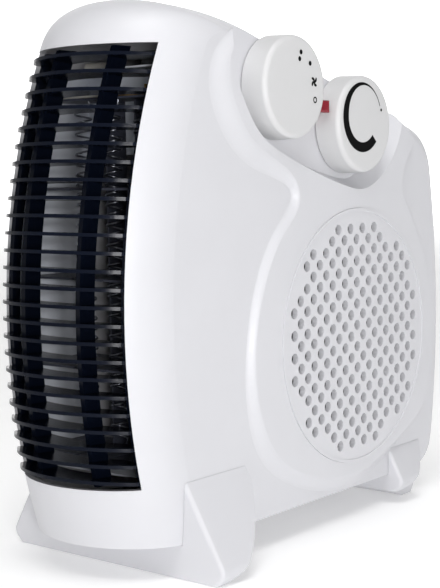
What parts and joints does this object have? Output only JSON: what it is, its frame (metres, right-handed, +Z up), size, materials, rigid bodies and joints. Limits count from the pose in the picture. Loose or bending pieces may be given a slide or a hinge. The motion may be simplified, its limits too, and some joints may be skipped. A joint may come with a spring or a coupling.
{
  "type": "fan heater",
  "caption": "Upright white fan heater with a bowed black outlet grille at the front, a round perforated intake and two dials on its side, and splayed feet.",
  "frame": {"origin": "centre of the footprint at floor level", "axes": "+Z up; the outlet grille faces -Y; the intake and the knobs face +X"},
  "size_m": [0.1294, 0.2616, 0.2515],
  "materials": {
    "steel": "plain",
    "bush_rubber": "matt",
    "brass_strip": "plain",
    "dark_plastic": "matt",
    "white_plastic": "satin",
    "bright_sheet": "bright",
    "resistance_wire": "oxidised",
    "red_lens": "gloss, clear",
    "mica_sheet": "flaky",
    "knob_plastic": "satin",
    "glass_sleeve": "woven",
    "lamp_glass": "clear",
    "black_plastic": "gloss",
    "red_sleeve": "gloss",
    "ceramic_block": "unglazed"
  },
  "bodies": {
    "casing": {"bimetal_blade": "steel", "casing_screw_1": "steel", "casing_screw_2": "steel", "casing_screw_3": "steel", "casing_screw_4": "steel", "cord_bush": "bush_rubber", "element_strip_bottom": "brass_strip", "element_strip_top": "brass_strip", "fan_scroll": "dark_plastic", "foot_screw_1": "steel", "foot_screw_2": "steel", "foot_screw_3": "steel", "foot_screw_4": "steel", "front_foot": "white_plastic", "heater_duct": "bright_sheet", "heating_coil_1": "resistance_wire", "heating_coil_2": "resistance_wire", "heating_coil_3": "resistance_wire", "indicator_lens": "red_lens", "intake_grille": "white_plastic", "left_shell": "white_plastic", "mica_board_1": "mica_sheet", "mica_board_2": "mica_sheet", "mica_card_1": "mica_sheet", "mica_card_2": "mica_sheet", "mica_card_3": "mica_sheet", "mica_card_4": "mica_sheet", "mica_card_5": "mica_sheet", "motor_bracket_front": "steel", "motor_bracket_rear": "steel", "motor_coil": "glass_sleeve", "motor_plate": "steel", "motor_screw_1": "steel", "motor_screw_2": "steel", "neon_lamp": "lamp_glass", "outlet_grille": "black_plastic", "plate_screw_1": "steel", "plate_screw_2": "steel", "plate_screw_3": "steel", "plate_screw_4": "steel", "rear_foot": "white_plastic", "red_lead": "red_sleeve", "right_shell": "white_plastic", "sleeved_lead": "glass_sleeve", "stator_stack": "steel", "switch_body": "dark_plastic", "terminal_block": "dark_plastic", "thermal_cutout": "dark_plastic", "thermal_fuse": "glass_sleeve", "thermostat_body": "ceramic_block"},
    "mode_dial": {"mode_knob": "knob_plastic", "mode_spindle": "dark_plastic"},
    "thermostat_dial": {"thermostat_knob": "knob_plastic", "thermostat_spindle": "brass_strip"},
    "fan": {"rotor_shaft": "steel", "impeller": "dark_plastic", "impeller_clip": "steel"}
  },
  "joints": [
    {"name": "mode_turn", "type": "hinge", "parent": "casing", "child": "mode_dial", "pos_m": [0.045, -0.012, 0.2136], "axis": [1, 0, 0], "range_deg": [-90, 0]},
    {"name": "thermostat_turn", "type": "hinge", "parent": "casing", "child": "thermostat_dial", "pos_m": [0.045, 0.0458, 0.1974], "axis": [1, 0, 0], "range_deg": [-150, 140]},
    {"name": "fan_spin", "type": "hinge", "parent": "casing", "child": "fan", "pos_m": [0, 0.0446, 0.0926], "axis": [1, 0, 0], "continuous": true}
  ]
}
